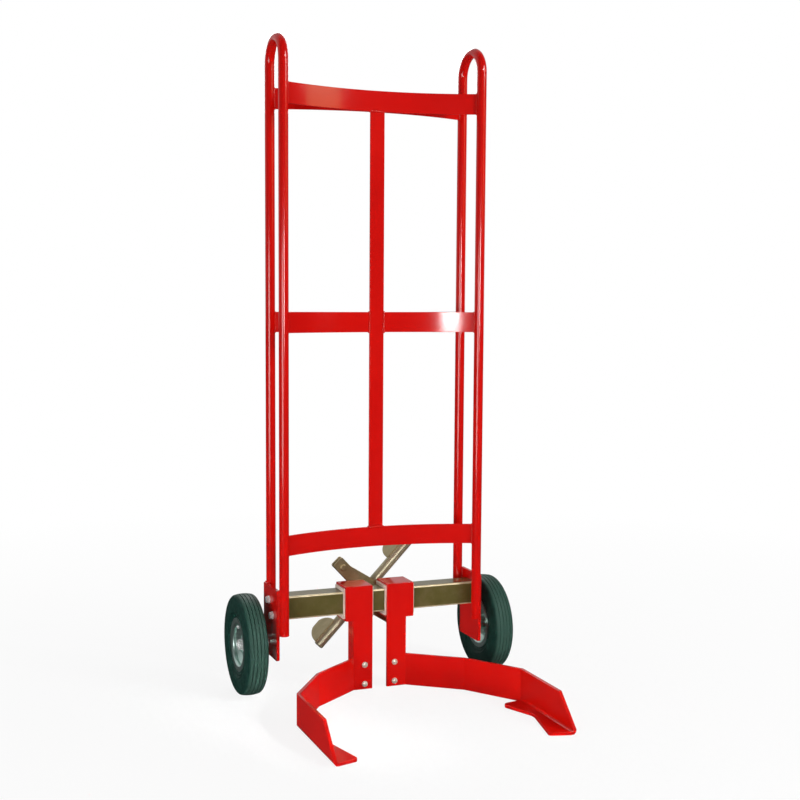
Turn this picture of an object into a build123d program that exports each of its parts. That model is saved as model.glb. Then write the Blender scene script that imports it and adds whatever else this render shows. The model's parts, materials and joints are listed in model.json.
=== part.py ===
from build123d import *
import os
from math import cos, hypot, radians, sin

# Tire cart. Millimetres, +Z up, the front of the cart looks along -Y, the floor is z = 0.
# Everything is drawn with the front legs of the side tubes at y = 0 and shifted at the end.

# Driving dimensions of the frame
TUBE_D = 25.0
TUBE_WALL = 2.5
HALF_WIDTH = 267.5
TUBE_GAP = 117.0
HEIGHT = 1672.0
BAND_T = 5.0
BAND_H = 52.0
BAND_BOW = 55.0
TOP_BAND_DROP = 151.0
BOTTOM_BAND_Z = 398.0
STRIP_W = 39.0
BLOCK_T = 6.0
BLOCK_W = 30.0

# Driving dimensions of the slide bar and the wheel brackets
BAR = 60.0
BAR_WALL = 5.0
BAR_CORNER = 5.0
BAR_Z = 231.5
BRACKET_T = 8.0
BRACKET_FRONT = 5.0
BRACKET_TAIL = 4.5
BRACKET_RISE = 23.0
BRACKET_DROP = 28.0
NEST = 2.0
LEG_DROP = 63.0
PLUG_T = 14.0

# Driving dimensions of the wheels
WHEEL_R = 130.0
TYRE_W = 56.0
WHEEL_OUT = 74.0
AXLE_Y = 97.0
AXLE_D = 20.0
AXLE_SEAT = 4.0
HUB_D = 38.0
RIM_R = 69.0
RIM_W = 46.0
RIM_SHEET = 3.0

# Driving dimensions of the arms
SLEEVE_IN = 20.5
SLEEVE_W = 74.5
SLEEVE_WALL = 6.0
LINER_SIDE = 1.5
LINER_TOP = 8.5
LINER_BOTTOM = 10.5
LINER_PROUD = 4.5
SLIDE_GAP = 0.3
PLATE_T = 8.0
LEG_W = 53.5
LEG_BOLT_IN = 21.5
BLADE_TOP = 85.5
BLADE_LIFT = 1.0
SECOND_BEND_X = 203.0
SECOND_BEND_RUN = 96.5
BLADE_X = 298.0
BLADE_RUN = 233.5
ARM_REACH = 478.0
END_SLANT = 73.0
LIP_HEEL = 72.0
LIP_HEEL_RUN = 11.0
LIP_WAIST = 32.0
LIP_WAIST_RUN = 152.0
LIP_TOE = 64.0
LIP_TOE_RUN = 17.0
LIP_KNEE_R = 40.0
LIP_HEEL_R = 15.0
LIP_TOE_R = 8.0
LIP_BEND_R = 14.0
ANGLE_W = 38.0
ANGLE_DEPTH = 33.0
ANGLE_T = 5.0

# Driving dimensions of the rocker and its links
CRANK_R = 108.0
CRANK_TILT = 47.0
CRANK_W = 33.0
CRANK_T = 6.0
CRANK_END = 24.0
LAYER_GAP = 1.0
LINK_T = 6.0
LINK_W = 26.0
PEDAL_D = 27.0
PEDAL_HALF = 190.0
TREAD_T = 4.0
TREAD_HALF = 38.0
TREAD_DEPTH = 76.0
PIVOT_D = 16.0
RUN_CLEAR = 0.05
LUG_D = 10.0
LUG_PLAY = 3.5
LUG_TAIL = 12.0
LINK_DROP = 2.8

# Derived places
TOP_BAND_Z = HEIGHT - TOP_BAND_DROP
MIDDLE_BAND_Z = (TOP_BAND_Z + BOTTOM_BAND_Z) / 2
TUBE_R = TUBE_D / 2
BEND_R = TUBE_GAP / 2
BEND_Z = HEIGHT - BEND_R - TUBE_R
FRONT_END_Z = BAR_Z - LEG_DROP
REAR_END_Z = BAR_Z - BAR / 4
BAR_Y = TUBE_GAP / 2
BAR_FRONT = BAR_Y - BAR / 2
BAR_REAR = BAR_Y + BAR / 2
BRACKET_X = HALF_WIDTH + TUBE_R - NEST
BRACKET_Z0 = WHEEL_R - BRACKET_DROP
BRACKET_Z1 = BAR_Z + BAR / 2 + BRACKET_RISE
BRACKET_Y0 = BRACKET_FRONT
BRACKET_Y1 = TUBE_GAP + BRACKET_TAIL
WHEEL_X = HALF_WIDTH + WHEEL_OUT
AXLE_R = AXLE_D / 2
HUB_IN = BRACKET_X + BRACKET_T + 1.5
HUB_OUT = WHEEL_X + 5.0
PLATE_REAR = BAR_FRONT - LINER_SIDE
PLATE_FRONT = PLATE_REAR - PLATE_T
SLEEVE_OUT = SLEEVE_IN + SLEEVE_W
SLEEVE_REAR = BAR_REAR + LINER_SIDE + SLEEVE_WALL
CAVITY_Z0 = BAR_Z - BAR / 2 - LINER_BOTTOM
CAVITY_Z1 = BAR_Z + BAR / 2 + LINER_TOP
SLEEVE_Z0 = CAVITY_Z0 - SLEEVE_WALL
SLEEVE_Z1 = CAVITY_Z1 + SLEEVE_WALL
LEG_OUT = SLEEVE_IN + LEG_W
LUG_X = SLEEVE_IN + SLEEVE_W / 2
PIN_X = -CRANK_R * cos(radians(CRANK_TILT))
PIN_Z = CRANK_R * sin(radians(CRANK_TILT))
CRANK_Y0 = SLEEVE_REAR + 2.0
CRANK_Y1 = CRANK_Y0 + CRANK_T
LINK_Y0 = CRANK_Y1 + LAYER_GAP
LINK_Y1 = LINK_Y0 + LINK_T
REAR_Y0 = LINK_Y1 + LAYER_GAP
REAR_Y1 = REAR_Y0 + CRANK_T
PEDAL_Y0 = max(REAR_Y1, LINK_Y1 + LUG_TAIL + LAYER_GAP)
PEDAL_Y = PEDAL_Y0 + PEDAL_D / 2
HUB_REAR = PEDAL_Y0 + PEDAL_D
SPACER_R = PIVOT_D / 2 + 6.5
CORE_R = PIVOT_D / 2 + 5.0
BOSS_R = PIVOT_D / 2 + 9.0
PEDAL_TILT = 90.0 - CRANK_TILT + 3.0
# The whole depth runs from the tips of the foot lips to the back of the tyres.
SHIFT_Y = (ARM_REACH - AXLE_Y - WHEEL_R) / 2


def box(x0, x1, y0, y1, z0, z1):
    """Block between two corners."""
    middle = ((x0 + x1) / 2, (y0 + y1) / 2, (z0 + z1) / 2)
    return Pos(*middle) * Box(abs(x1 - x0), abs(y1 - y0), abs(z1 - z0))


def rod_x(x0, x1, y, z, radius):
    """Round bar along X."""
    return Pos((x0 + x1) / 2, y, z) * Rot(0, 90, 0) * Cylinder(radius, abs(x1 - x0))


def rod_y(x, y0, y1, z, radius):
    """Round bar along Y."""
    return Pos(x, (y0 + y1) / 2, z) * Rot(90, 0, 0) * Cylinder(radius, abs(y1 - y0))


def rod_z(x, y, z0, z1, radius):
    """Round bar along Z."""
    return Pos(x, y, (z0 + z1) / 2) * Cylinder(radius, abs(z1 - z0))


def hex_x(x0, x1, y, z, flats):
    """Hexagon bar along X, measured across the flats."""
    outline = RegularPolygon(flats / 2, 6, major_radius=False)
    return Pos(min(x0, x1), y, z) * Rot(0, 90, 0) * extrude(outline, abs(x1 - x0))


def hex_y(x, y0, y1, z, flats):
    """Hexagon bar along Y, measured across the flats."""
    outline = RegularPolygon(flats / 2, 6, major_radius=False)
    return Pos(x, max(y0, y1), z) * Rot(90, 0, 0) * extrude(outline, abs(y1 - y0))


def turned_x(outline, y, z):
    """Solid of revolution about a line along X, from (x, radius) points."""
    face = make_face(Polyline(*outline, close=True))
    return Pos(0, y, z) * revolve(face, Axis.X)


def turned_y(outline, x, z):
    """Solid of revolution about a line along Y, from (y, radius) points."""
    face = make_face(Polyline(*[(r, y) for y, r in outline], close=True))
    return Pos(x, 0, z) * revolve(face, Axis.Y)


def ribbon(line, thick):
    """Outline of a bent strip of even thickness about a centre line, with sharp bends."""
    normals = []
    for (xa, ya), (xb, yb) in zip(line, line[1:]):
        length = hypot(xb - xa, yb - ya)
        normals.append((-(yb - ya) / length, (xb - xa) / length))
    near = []
    far = []
    for i, (x, y) in enumerate(line):
        before = normals[max(i - 1, 0)]
        after = normals[min(i, len(normals) - 1)]
        scale = thick / 2 / (1 + before[0] * after[0] + before[1] * after[1])
        mx = (before[0] + after[0]) * scale
        my = (before[1] + after[1]) * scale
        near.append((x - mx, y - my))
        far.append((x + mx, y + my))
    return near + far[::-1]


def other_side(shape):
    """The same piece on the left of the cart."""
    return mirror(shape, about=Plane.YZ)


def tube_legs():
    """Full round legs of the right side tube, to cut seats with."""
    front = rod_z(HALF_WIDTH, 0, FRONT_END_Z, BEND_Z, TUBE_R)
    rear = rod_z(HALF_WIDTH, TUBE_GAP, REAR_END_Z, BEND_Z, TUBE_R)
    return front + rear


def side_tube():
    """One tube: up the front leg, round the handle bend and down the rear leg."""
    front = Line((HALF_WIDTH, 0, FRONT_END_Z), (HALF_WIDTH, 0, BEND_Z))
    top = (HALF_WIDTH, BEND_R, BEND_Z + BEND_R)
    bend = ThreePointArc(front @ 1, top, (HALF_WIDTH, TUBE_GAP, BEND_Z))
    rear = Line(bend @ 1, (HALF_WIDTH, TUBE_GAP, REAR_END_Z))
    path = Wire([*front.edges(), *bend.edges(), *rear.edges()])
    section = Circle(TUBE_R) - Circle(TUBE_R - TUBE_WALL)
    return sweep(Pos(HALF_WIDTH, 0, FRONT_END_Z) * section, path=path)


def bowed_bar(end_y, middle_y, z):
    """Flat bar on edge, rolled to one radius between two legs."""
    bow = middle_y - end_y
    radius = (HALF_WIDTH**2 + bow**2) / (2 * abs(bow))
    sign = 1 if bow > 0 else -1
    centre = middle_y - sign * radius
    ring = Circle(radius + BAND_T / 2) - Circle(radius - BAND_T / 2)
    bar = Pos(0, centre, z - BAND_H / 2) * extrude(ring, BAND_H)
    far = end_y + sign * (abs(bow) + BAND_T)
    near = end_y - sign * BAND_T
    window = box(-HALF_WIDTH, HALF_WIDTH, near, far, z - BAND_H, z + BAND_H)
    legs = tube_legs()
    return (bar & window) - legs - other_side(legs)


def front_band(z):
    """Band between the front legs, bowed to the rear."""
    return bowed_bar(0, BAND_BOW, z)


def half_middle_band():
    """Right half of the middle band, butted against the strip."""
    keep = box(STRIP_W / 2, HALF_WIDTH, -BAND_T, TUBE_GAP, MIDDLE_BAND_Z - BAND_H, MIDDLE_BAND_Z + BAND_H)
    return front_band(MIDDLE_BAND_Z) & keep


def rear_brace(z):
    """Brace between the rear legs, bowed to the front until it nears the band."""
    return bowed_bar(TUBE_GAP, BAND_BOW + BAND_T + BLOCK_T, z)


def brace_blocks():
    """Spacers between the braces and what stands in front of them."""
    y1 = BAND_BOW + BAND_T + BLOCK_T
    top_z = (TOP_BAND_Z - BAND_H / 2, TOP_BAND_Z + BAND_H / 2)
    top = box(-BLOCK_W / 2, BLOCK_W / 2, BAND_BOW, y1, *top_z)
    top = top - front_band(TOP_BAND_Z) - rear_brace(TOP_BAND_Z)
    top = top.solids().sort_by(SortBy.VOLUME)[-1]
    mid_z = (MIDDLE_BAND_Z - BAND_H / 2, MIDDLE_BAND_Z + BAND_H / 2)
    mid = box(-BLOCK_W / 2, BLOCK_W / 2, BAND_BOW + BAND_T / 2, y1, *mid_z)
    mid = mid - rear_brace(MIDDLE_BAND_Z)
    mid = mid.solids().sort_by(SortBy.VOLUME)[-1]
    return Compound([top, mid])


def centre_strip():
    """Upright flat bar between the bottom band and the top band."""
    z0 = BOTTOM_BAND_Z + BAND_H / 2
    z1 = TOP_BAND_Z - BAND_H / 2
    return box(-STRIP_W / 2, STRIP_W / 2, BAND_BOW - BAND_T / 2, BAND_BOW + BAND_T / 2, z0, z1)


def bar_bolt_places():
    """Two bolts on a slant line across the end of the bar."""
    return [(BAR_Y - BAR * 0.28, BAR_Z - BAR * 0.30), (BAR_Y + BAR * 0.20, BAR_Z + BAR * 0.28)]


def wheel_bracket():
    """Upright plate outside the legs; it carries the bar and the stub axle."""
    plate = box(BRACKET_X, BRACKET_X + BRACKET_T, BRACKET_Y0, BRACKET_Y1, BRACKET_Z0, BRACKET_Z1)
    plate = fillet(plate.edges().filter_by(Axis.X), 6.0)
    plate = plate - tube_legs()
    face = BRACKET_X + BRACKET_T
    plate = plate - rod_x(face - AXLE_SEAT, face, AXLE_Y, WHEEL_R, AXLE_R)
    for y, z in bar_bolt_places():
        plate = plate - rod_x(BRACKET_X, BRACKET_X + BRACKET_T, y, z, 5.0)
    return plate


def slide_bar():
    """Square tube between the two brackets."""
    outer = fillet(Rectangle(BAR, BAR).vertices(), BAR_CORNER)
    inner = Rectangle(BAR - 2 * BAR_WALL, BAR - 2 * BAR_WALL)
    length = 2 * BRACKET_X
    return Pos(-BRACKET_X, BAR_Y, BAR_Z) * Rot(0, 90, 0) * extrude(outer - inner, length)


def bar_plugs():
    """Square plugs in the ends of the bar, bored for the bolts."""
    half = BAR / 2 - BAR_WALL
    plug = box(BRACKET_X - PLUG_T, BRACKET_X, BAR_Y - half, BAR_Y + half, BAR_Z - half, BAR_Z + half)
    for y, z in bar_bolt_places():
        plug = plug - rod_x(BRACKET_X - PLUG_T, BRACKET_X, y, z, 5.0)
    return Compound([plug.solid(), other_side(plug).solid()])


def bar_bolts():
    """Hexagon bolts from outside the bracket into the plug."""
    face = BRACKET_X + BRACKET_T
    bolts = []
    for y, z in bar_bolt_places():
        shank = rod_x(BRACKET_X - PLUG_T, face, y, z, 5.0)
        washer = rod_x(face, face + 2.0, y, z, 10.0)
        head = hex_x(face + 2.0, face + 8.5, y, z, 16.0)
        bolts.append((shank + washer + head).solid())
    return Compound(bolts)


def axle():
    """Stub axle: seated in the bracket, collar, journal and a smaller threaded end."""
    face = BRACKET_X + BRACKET_T
    thread = AXLE_R - 2.0
    outline = [
        (face - AXLE_SEAT, 0),
        (face - AXLE_SEAT, AXLE_R),
        (face, AXLE_R),
        (face, HUB_D / 2),
        (HUB_IN - 0.3, HUB_D / 2),
        (HUB_IN - 0.3, AXLE_R),
        (HUB_OUT + 0.5, AXLE_R),
        (HUB_OUT + 0.5, thread),
        (HUB_OUT + 17.0, thread),
        (HUB_OUT + 18.0, thread - 1.0),
        (HUB_OUT + 18.0, 0),
    ]
    return turned_x(outline, AXLE_Y, WHEEL_R)


def axle_nut():
    """Washer and nut that keep the wheel on."""
    thread = AXLE_R - 2.0
    washer = rod_x(HUB_OUT + 0.5, HUB_OUT + 3.5, AXLE_Y, WHEEL_R, HUB_D / 2 - 2.0)
    nut = hex_x(HUB_OUT + 3.5, HUB_OUT + 15.0, AXLE_Y, WHEEL_R, 24.0)
    return washer + nut - rod_x(HUB_OUT, HUB_OUT + 20.0, AXLE_Y, WHEEL_R, thread)


def tyre():
    """Tyre seated in the rim halves, with rounded shoulders and rings of tread grooves."""
    half = TYRE_W / 2
    flange, corner, seat = ribbon(rim_line(), RIM_SHEET)[6:9]
    low = (flange[0], RIM_R + 1.5)
    middle = (half, WHEEL_R - 34.0)
    high = (half - 1.5, WHEEL_R - 12.0)
    shoulder = (half - 7.0, WHEEL_R - 2.5)
    side = Line((0, seat[1]), seat)
    side += Line(seat, corner)
    side += Line(corner, low)
    side += ThreePointArc(low, (half - 1.6, WHEEL_R - 46.0), middle)
    side += ThreePointArc(middle, (half - 0.4, WHEEL_R - 23.0), high)
    side += ThreePointArc(high, (half - 3.2, WHEEL_R - 5.5), shoulder)
    crown = ThreePointArc(shoulder, (0, WHEEL_R), (-shoulder[0], shoulder[1]))
    face = make_face(side + mirror(side, about=Plane.YZ) + crown)
    for k in (-3, -1, 1, 3):
        face = face - Pos(k * TYRE_W / 12.0, WHEEL_R) * Rectangle(1.8, 6.0)
    return Pos(WHEEL_X, AXLE_Y, WHEEL_R) * revolve(face, Axis.X)


def rim_line():
    """Centre line of a pressed rim half, from the hub to the flange, as (x, radius)."""
    seat = RIM_R - 14.0 - RIM_SHEET / 2
    mid = RIM_SHEET / 2
    return [
        (mid, HUB_D / 2),
        (mid, HUB_D / 2 + 21.0),
        (RIM_W / 4, seat),
        (RIM_W / 2 - RIM_SHEET - 2.0, seat),
        (RIM_W / 2 - RIM_SHEET / 2, seat + 3.5),
        (RIM_W / 2 - RIM_SHEET / 2, RIM_R),
    ]


def valve_place():
    """The valve stands straight above the axle."""
    return AXLE_Y, WHEEL_R + HUB_D / 2 + 28.0


def rim_bolt_places():
    """Four bolts round the hub."""
    reach = (HUB_D / 2 + 11.0) * cos(radians(45))
    return [(AXLE_Y + a * reach, WHEEL_R + b * reach) for a in (-1, 1) for b in (-1, 1)]


def rim_half(sign):
    """Pressed sheet half; sign +1 is the outer one."""
    outline = [(sign * x, r) for x, r in ribbon(rim_line(), RIM_SHEET)]
    face = make_face(Polyline(*outline, close=True))
    rim = Pos(WHEEL_X, AXLE_Y, WHEEL_R) * revolve(face, Axis.X)
    for y, z in rim_bolt_places():
        rim = rim - rod_x(WHEEL_X - 5.0, WHEEL_X + 5.0, y, z, 3.0)
    if sign > 0:
        y, z = valve_place()
        rim = rim - rod_x(WHEEL_X, WHEEL_X + RIM_W / 2, y, z, 4.0)
    return rim


def hub():
    """Hub tube, longer to the inside."""
    outline = [
        (HUB_IN, AXLE_R + RUN_CLEAR),
        (HUB_IN, HUB_D / 2 - 2.0),
        (HUB_IN + 2.0, HUB_D / 2),
        (HUB_OUT - 1.0, HUB_D / 2),
        (HUB_OUT, HUB_D / 2 - 1.0),
        (HUB_OUT, AXLE_R + RUN_CLEAR),
    ]
    return turned_x(outline, AXLE_Y, WHEEL_R)


def rim_bolts():
    """Four bolts with nuts that hold the rim halves together."""
    bolts = []
    for y, z in rim_bolt_places():
        shank = rod_x(WHEEL_X - RIM_SHEET - 7.0, WHEEL_X + RIM_SHEET, y, z, 3.0)
        head = hex_x(WHEEL_X + RIM_SHEET, WHEEL_X + RIM_SHEET + 4.0, y, z, 10.0)
        nut = hex_x(WHEEL_X - RIM_SHEET - 5.0, WHEEL_X - RIM_SHEET, y, z, 10.0)
        bolts.append((shank + head + nut).solid())
    return Compound(bolts)


def valve():
    """Valve stem with a cap."""
    y, z = valve_place()
    stem = rod_x(WHEEL_X + 1.0, WHEEL_X + 16.0, y, z, 4.0)
    cap = rod_x(WHEEL_X + 16.0, WHEEL_X + 23.0, y, z, 3.2)
    return stem + cap


def sleeve():
    """Channel that closes round the bar behind the arm plate."""
    outer = box(SLEEVE_IN, SLEEVE_OUT, PLATE_REAR, SLEEVE_REAR, SLEEVE_Z0, SLEEVE_Z1)
    back = outer.edges().filter_by(Axis.X).group_by(Axis.Y)[-1]
    outer = fillet(back, 4.0)
    cavity = box(SLEEVE_IN, SLEEVE_OUT, PLATE_REAR, SLEEVE_REAR - SLEEVE_WALL, CAVITY_Z0, CAVITY_Z1)
    return outer - cavity


def liner():
    """Plastic liner between the sleeve and the bar."""
    x0 = SLEEVE_IN - LINER_PROUD
    x1 = SLEEVE_OUT + LINER_PROUD
    block = box(x0, x1, PLATE_REAR, SLEEVE_REAR - SLEEVE_WALL, CAVITY_Z0, CAVITY_Z1)
    half = BAR / 2 + SLIDE_GAP
    return block - box(x0, x1, BAR_Y - half, BAR_Y + half, BAR_Z - half, BAR_Z + half)


def blade_line():
    """Centre line of the arm plate seen from above, from the leg to the tip."""
    y = (PLATE_FRONT + PLATE_REAR) / 2
    return [
        (SLEEVE_IN, y),
        (LEG_OUT, y),
        (SECOND_BEND_X, y - SECOND_BEND_RUN),
        (BLADE_X, y - BLADE_RUN),
        (BLADE_X, -ARM_REACH),
    ]


def lip_ends():
    """Outer face of the blade and the rear and front end of the foot lip."""
    return BLADE_X + PLATE_T / 2, blade_line()[3][1] - PLATE_T, -ARM_REACH


def foot_lip():
    """Lip under the tyre: turned in at the foot of the blade, with a waist and two rounded ends."""
    outer, back, front = lip_ends()
    heel = (outer - LIP_HEEL, back - LIP_HEEL_RUN)
    waist = (outer - LIP_WAIST, front + LIP_WAIST_RUN)
    toe = (outer - LIP_TOE, front + LIP_TOE_RUN)
    lip = make_face(Polyline((outer, front), (outer, back), heel, waist, toe, close=True))
    for corner, radius in ((heel, LIP_HEEL_R), (waist, LIP_KNEE_R), (toe, LIP_TOE_R)):
        lip = fillet(lip.vertices().sort_by_distance((*corner, 0))[0], radius)
    return extrude(lip, PLATE_T)


def beyond_bend(x1, z0, y0, y1, radius):
    """What lies between the square corner at x1, z0 and a round about the line of the foot bend."""
    x = lip_ends()[0] - LIP_BEND_R
    return box(x, x1, y0, y1, z0, LIP_BEND_R) - rod_y(x, y0, y1, LIP_BEND_R, radius)


def bent_foot(blade):
    """Joins the lip to the blade and rounds the bend between them; outside it runs out past the corner."""
    outer, back, front = lip_ends()
    hollow = beyond_bend(outer - PLATE_T, PLATE_T, front, back - LIP_HEEL_RUN / 3, LIP_BEND_R - PLATE_T)
    corner = beyond_bend(outer + PLATE_T, -PLATE_T, front - PLATE_T, back + 2 * LIP_BEND_R, LIP_BEND_R)
    return blade + foot_lip() + hollow - corner


def arm_plate():
    """One plate: head on the sleeve, leg, blade bent in facets and foot lip."""
    head = box(SLEEVE_IN, SLEEVE_OUT, PLATE_FRONT, PLATE_REAR, SLEEVE_Z0, SLEEVE_Z1)
    head = fillet(head.edges().filter_by(Axis.Y), 3.0)
    leg = box(SLEEVE_IN, LEG_OUT, PLATE_FRONT, PLATE_REAR, BLADE_LIFT, SLEEVE_Z0 + 10.0)
    outline = make_face(Polyline(*ribbon(blade_line(), PLATE_T), close=True))
    outer_bends = 3.0 + PLATE_T
    corners = [v for v in outline.vertices() if LEG_OUT + 20.0 < v.X and v.Y > -ARM_REACH + 20.0]
    corners.sort(key=lambda v: v.X + v.Y)
    outline = fillet(corners, outer_bends)
    blade = extrude(outline, BLADE_TOP)
    tip = -ARM_REACH
    ahead = tip - 20.0
    cut = [(tip + END_SLANT, BLADE_TOP), (ahead, BLADE_TOP), (ahead, LIP_BEND_R), (tip, LIP_BEND_R)]
    slant = make_face(Polyline(*[(0, y, z) for y, z in cut], close=True))
    wide = BLADE_X + 40.0
    blade = blade - extrude(slant, wide, dir=(1, 0, 0))
    lift = box(0, wide, blade_line()[3][1] - PLATE_T, PLATE_REAR + 5.0, -1.0, BLADE_LIFT)
    blade = blade - lift
    return head + leg + bent_foot(blade)


def leg_bolt_places():
    """Two bolts, one above the other, near the foot of the leg."""
    x = SLEEVE_IN + LEG_BOLT_IN
    return [(x, BLADE_LIFT + 14.0), (x, BLADE_LIFT + 65.0)]


def drilled_arm_plate():
    """Arm plate with the holes of the leg bolts."""
    plate = arm_plate()
    for x, z in leg_bolt_places():
        plate = plate - rod_y(x, PLATE_FRONT, PLATE_REAR, z, 4.0)
    return plate


def leg_angle():
    """Angle behind the leg: one limb flat on the plate, the other to the rear."""
    x1 = LEG_OUT
    flat = box(x1 - ANGLE_W, x1, PLATE_REAR, PLATE_REAR + ANGLE_T, BLADE_LIFT + 4.0, SLEEVE_Z0)
    limb = box(x1 - ANGLE_T, x1, PLATE_REAR, PLATE_REAR + ANGLE_DEPTH, BLADE_LIFT + 4.0, SLEEVE_Z0)
    angle = flat + limb
    for x, z in leg_bolt_places():
        angle = angle - rod_y(x, PLATE_REAR, PLATE_REAR + ANGLE_T, z, 4.0)
    return angle


def leg_bolts():
    """Slotted round-head bolts with nuts behind the angle."""
    back = PLATE_REAR + ANGLE_T
    bolts = []
    for x, z in leg_bolt_places():
        outline = [
            (back + 9.0, 0),
            (back + 9.0, 4.0),
            (PLATE_FRONT, 4.0),
            (PLATE_FRONT, 8.0),
            (PLATE_FRONT - 2.0, 7.6),
            (PLATE_FRONT - 4.0, 5.6),
            (PLATE_FRONT - 5.0, 2.8),
            (PLATE_FRONT - 5.2, 0),
        ]
        bolt = turned_y(outline, x, z)
        slot = box(x - 9.0, x + 9.0, PLATE_FRONT - 6.0, PLATE_FRONT - 2.8, z - 1.0, z + 1.0)
        nut = hex_y(x, back, back + 6.5, z, 13.0)
        bolts.append((bolt + nut - slot).solid())
    return Compound(bolts)


def lug_pin():
    """Boss and pin on the back of the sleeve for the link."""
    outline = [
        (SLEEVE_REAR, 0),
        (SLEEVE_REAR, LUG_D),
        (LINK_Y0 - 0.5, LUG_D),
        (LINK_Y0 - 0.5, LUG_D / 2),
        (LINK_Y1 + LUG_TAIL - 1.0, LUG_D / 2),
        (LINK_Y1 + LUG_TAIL, LUG_D / 2 - 1.0),
        (LINK_Y1 + LUG_TAIL, 0),
    ]
    return turned_y(outline, LUG_X, BAR_Z)


def lug_nut():
    """Wide washer and nut behind the link."""
    washer = rod_y(LUG_X, LINK_Y1 + 0.5, LINK_Y1 + 3.0, BAR_Z, LUG_D + 4.0)
    nut = hex_y(LUG_X, LINK_Y1 + 3.0, LINK_Y1 + 9.5, BAR_Z, 17.0)
    return washer + nut - rod_y(LUG_X, LINK_Y1, LINK_Y1 + LUG_TAIL, BAR_Z, LUG_D / 2)


def crank_plate(y0, hole):
    """Double-ended crank arm, bored for the hub and the two pins."""
    length = 2 * (CRANK_R + CRANK_END)
    bar = box(-length / 2, length / 2, y0, y0 + CRANK_T, -CRANK_W / 2, CRANK_W / 2)
    bar = fillet(bar.edges().filter_by(Axis.Y), 5.0)
    bar = Pos(0, 0, BAR_Z) * Rot(0, CRANK_TILT, 0) * bar
    bar = bar - rod_y(0, y0, y0 + CRANK_T, BAR_Z, hole)
    for s in (-1, 1):
        bar = bar - rod_y(s * PIN_X, y0, y0 + CRANK_T, BAR_Z + s * PIN_Z, 6.0)
    return bar


def rocker_hub():
    """Bored hub that joins the crank plates and the pedal bars."""
    bore = PIVOT_D / 2 + RUN_CLEAR
    outline = [
        (CRANK_Y0, bore),
        (CRANK_Y0, CORE_R),
        (CRANK_Y1, CORE_R),
        (CRANK_Y1, SPACER_R),
        (REAR_Y0, SPACER_R),
        (REAR_Y0, CORE_R),
        (REAR_Y1, CORE_R),
        (REAR_Y1, BOSS_R),
        (HUB_REAR, BOSS_R),
        (HUB_REAR, bore),
    ]
    return turned_y(outline, 0, BAR_Z)


def pedal_place():
    """Plane of the pedal bar: x along the bar, y to the rear, z square to the treads."""
    tilt = radians(PEDAL_TILT)
    along = (cos(tilt), 0, sin(tilt))
    up = (-sin(tilt), 0, cos(tilt))
    return Plane(origin=(0, PEDAL_Y, BAR_Z), x_dir=along, z_dir=up)


def pedal_bar(sign):
    """Round bar from the hub to the rounded tip; sign +1 is the upper one."""
    tip = PEDAL_HALF
    radius = PEDAL_D / 2
    outline = [
        (0, 0),
        (0, radius),
        (tip - 5.0, radius),
        (tip - 1.5, radius - 1.5),
        (tip, radius - 5.0),
        (tip, 0),
    ]
    face = make_face(Polyline(*[(sign * x, r) for x, r in outline], close=True))
    bar = pedal_place() * revolve(face, Axis.X)
    return bar - rod_y(0, REAR_Y1 - 1.0, HUB_REAR + 1.0, BAR_Z, BOSS_R)


def tread(sign):
    """Half-round tread plate on the pedal bar, near its tip."""
    middle = PEDAL_HALF - TREAD_HALF - 4.0
    lobe = Pos(sign * middle, -4.0) * Ellipse(TREAD_HALF, TREAD_DEPTH + 4.0)
    lobe = lobe & (Pos(sign * middle, TREAD_DEPTH / 2 - 4.0) * Rectangle(4 * TREAD_HALF, TREAD_DEPTH))
    low = PEDAL_D / 2 - NEST
    plate = Pos(0, 0, low) * extrude(lobe, TREAD_T)
    return pedal_place() * plate - pedal_bar(sign)


def crank_pin(sign):
    """Riveted pin through both crank plates and the link."""
    outline = [
        (CRANK_Y0 - 4.0, 0),
        (CRANK_Y0 - 4.0, 7.0),
        (CRANK_Y0 - 2.5, 9.0),
        (CRANK_Y0, 9.0),
        (CRANK_Y0, 6.0),
        (REAR_Y1, 6.0),
        (REAR_Y1, 8.5),
        (REAR_Y1 + 2.0, 8.5),
        (REAR_Y1 + 3.0, 7.0),
        (REAR_Y1 + 3.0, 0),
    ]
    return turned_y(outline, sign * PIN_X, BAR_Z + sign * PIN_Z)


def crank_pins():
    """The two pins at the ends of the crank."""
    return Compound([crank_pin(1).solid(), crank_pin(-1).solid()])


def link():
    """Flat link from the upper crank pin down to the lug of the right sleeve."""
    eye = (LUG_X, -LINK_DROP)
    run = (eye[0] - PIN_X, eye[1] - PIN_Z)
    length = hypot(*run)
    body = Pos(length / 2, 0) * Rectangle(length, LINK_W)
    ends = Circle(14.0) + Pos(length, 0) * Circle(LUG_D / 2 + LUG_PLAY + 7.5)
    holes = Circle(6.0 + RUN_CLEAR) + Pos(length, 0) * Circle(LUG_D / 2 + LUG_PLAY)
    along = (run[0], 0, run[1])
    place = Plane(origin=(PIN_X, LINK_Y1, BAR_Z + PIN_Z), x_dir=along, z_dir=(0, -1, 0))
    return place * extrude(body + ends - holes, LINK_T)


def half_turn(shape):
    """The same piece turned half round the pivot of the rocker."""
    return Pos(0, 0, BAR_Z) * Rot(0, 180, 0) * Pos(0, 0, -BAR_Z) * shape


def pivot_pin():
    """Pin on the back of the bar that the rocker turns on."""
    foot = SLEEVE_IN - LINER_PROUD - 2.5
    outline = [
        (BAR_REAR, 0),
        (BAR_REAR, foot),
        (CRANK_Y0 - 0.3, foot),
        (CRANK_Y0 - 0.3, PIVOT_D / 2),
        (HUB_REAR + 14.0, PIVOT_D / 2),
        (HUB_REAR + 15.0, PIVOT_D / 2 - 1.0),
        (HUB_REAR + 15.0, 0),
    ]
    return turned_y(outline, 0, BAR_Z)


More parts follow.
